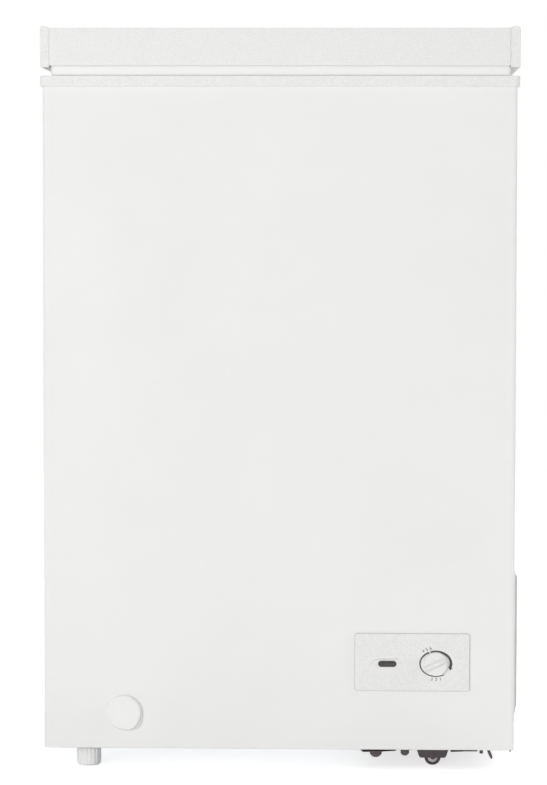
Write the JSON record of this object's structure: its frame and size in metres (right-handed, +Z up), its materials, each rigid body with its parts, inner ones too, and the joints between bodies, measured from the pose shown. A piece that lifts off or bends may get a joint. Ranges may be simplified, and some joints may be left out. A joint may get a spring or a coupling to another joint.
{
  "type": "chest_freezer",
  "caption": "Compact chest freezer: white steel cabinet, top lid on sprung rear hinges, control panel with thermostat knob, drain, side vent grille, wire basket, levelling feet and rollers.",
  "frame": {"origin": "centre of the bounding box's base, on the floor", "axes": "+Z up, front faces -Y, +X to the right as seen from the front"},
  "size_m": [0.5488, 0.5158, 0.85],
  "materials": {
    "cabinet_paint": "smooth satin white enamel",
    "white_abs": "fine-textured moulded ABS",
    "smooth_plastic": "smooth moulded plastic",
    "grille_plastic": "moulded grey-white plastic",
    "galvanised": "galvanised sheet, dull",
    "zinc_plated": "bright zinc plate",
    "liner_aluminium": "stucco-embossed coated aluminium",
    "tube_aluminium": "drawn aluminium tube",
    "copper": "drawn copper, lightly tarnished",
    "black_steel": "semi-gloss black enamel",
    "rubber": "moulded rubber",
    "gasket_vinyl": "soft white magnetic gasket",
    "foam": "rigid polyurethane foam",
    "lens": "dark tinted lens",
    "lamp": "neon lamp housing",
    "foot_plastic": "pale moulded nylon",
    "roller_plastic": "dark moulded nylon",
    "coated_wire": "white dip-coated steel wire",
    "spring_steel": "oiled spring steel"
  },
  "bodies": {
    "cabinet": {"outer_shell": "cabinet_paint", "back_panel": "cabinet_paint", "base_pan": "galvanised", "compartment_wall": "galvanised", "liner": "liner_aluminium", "foam": "foam", "evaporator_tube": "tube_aluminium", "condenser_tube": "copper", "top_frame": "white_abs", "control_panel": "white_abs", "indicator_lens": "lens", "indicator_lamp": "lamp", "thermostat": "zinc_plated", "drain_pipe": "smooth_plastic", "side_grille": "grille_plastic", "side_grille_screws": "zinc_plated", "compressor_base": "black_steel", "compressor": "black_steel", "compressor_grommets": "rubber", "base_bolts": "zinc_plated", "starter_box": "roller_plastic", "suction_tube": "copper", "discharge_tube": "copper", "process_tube": "copper", "filter_drier": "copper", "capillary_tube": "copper", "cord_grommet": "rubber", "roller_brackets": "black_steel", "roller_axles": "black_steel", "foot_inserts": "zinc_plated", "hinge_base_left": "zinc_plated", "hinge_base_right": "zinc_plated", "hinge_pins": "zinc_plated", "hinge_covers": "white_abs", "hinge_screws": "zinc_plated", "hinge_spring_left": "spring_steel", "hinge_spring_right": "spring_steel"},
    "knob": {"thermostat_knob": "smooth_plastic"},
    "outer_drain_cap": {"drain_cap": "smooth_plastic"},
    "inner_drain_plug": {"drain_plug": "smooth_plastic"},
    "front_roller": {"roller_front": "roller_plastic"},
    "rear_roller": {"roller_rear": "roller_plastic"},
    "front_stud": {"foot_stud_front": "zinc_plated"},
    "front_foot": {"foot_front": "foot_plastic"},
    "rear_stud": {"foot_stud_rear": "zinc_plated"},
    "rear_foot": {"foot_rear": "foot_plastic"},
    "lid": {"lid_panel": "white_abs", "lid_front_rail": "white_abs", "lid_back_rail": "white_abs", "lid_cap_left": "white_abs", "lid_cap_right": "white_abs", "lid_foam": "foam", "lid_liner": "smooth_plastic", "lid_gasket": "gasket_vinyl", "hinge_arm_left": "zinc_plated", "hinge_arm_right": "zinc_plated", "lid_screws": "zinc_plated"},
    "left_plunger": {"hinge_plunger_left": "roller_plastic"},
    "right_plunger": {"hinge_plunger_right": "roller_plastic"},
    "wire_basket": {"basket": "coated_wire"}
  },
  "joints": [
    {"name": "lid_hinge", "type": "hinge", "parent": "cabinet", "child": "lid", "pos_m": [0.0014, 0.2476, 0.797], "axis": [-1, 0, 0], "range_deg": [0, 85]},
    {"name": "left_plunger_slide", "type": "slide", "parent": "cabinet", "child": "left_plunger", "axis": [0, 0, 1], "range_m": [0, 0.0176], "deforming": ["hinge_spring_left"]},
    {"name": "right_plunger_slide", "type": "slide", "parent": "cabinet", "child": "right_plunger", "axis": [0, 0, 1], "range_m": [0, 0.0176], "deforming": ["hinge_spring_right"]},
    {"name": "basket_slide", "type": "slide", "parent": "cabinet", "child": "wire_basket", "axis": [1, 0, 0], "range_m": [0, 0.25]},
    {"name": "thermostat_turn", "type": "hinge", "parent": "cabinet", "child": "knob", "pos_m": [0.1784, -0.2474, 0.12399], "axis": [0, 1, 0], "range_deg": [-269, 43]},
    {"name": "drain_cap_pull", "type": "slide", "parent": "cabinet", "child": "outer_drain_cap", "axis": [0, -1, 0], "range_m": [0, 0.025]},
    {"name": "drain_plug_lift", "type": "slide", "parent": "cabinet", "child": "inner_drain_plug", "axis": [0, 0, 1], "range_m": [0, 0.03]},
    {"name": "front_foot_spin", "type": "hinge", "parent": "front_stud", "child": "front_foot", "pos_m": [-0.2221, -0.2144, 0], "axis": [0, 0, -1], "range_deg": [0, 1440]},
    {"name": "front_foot_travel", "type": "slide", "parent": "cabinet", "child": "front_stud", "axis": [0, 0, -1], "range_m": [0, 0.005]},
    {"name": "rear_foot_spin", "type": "hinge", "parent": "rear_stud", "child": "rear_foot", "pos_m": [-0.2221, 0.1956, 0], "axis": [0, 0, -1], "range_deg": [0, 1440]},
    {"name": "rear_foot_travel", "type": "slide", "parent": "cabinet", "child": "rear_stud", "axis": [0, 0, -1], "range_m": [0, 0.005]},
    {"name": "front_roller_spin", "type": "hinge", "parent": "cabinet", "child": "front_roller", "pos_m": [0.1759, -0.1984, 0.0095], "axis": [0, 1, 0], "continuous": true},
    {"name": "rear_roller_spin", "type": "hinge", "parent": "cabinet", "child": "rear_roller", "pos_m": [0.1759, 0.1796, 0.0095], "axis": [0, 1, 0], "continuous": true}
  ],
  "couplings": [
    {"joint": "left_plunger_slide", "follows": "lid_hinge", "m_per_rad": 0.01183},
    {"joint": "right_plunger_slide", "follows": "lid_hinge", "m_per_rad": 0.01183},
    {"joint": "front_foot_travel", "follows": "front_foot_spin", "m_per_rad": 0.00019894},
    {"joint": "rear_foot_travel", "follows": "rear_foot_spin", "m_per_rad": 0.00019894}
  ]
}
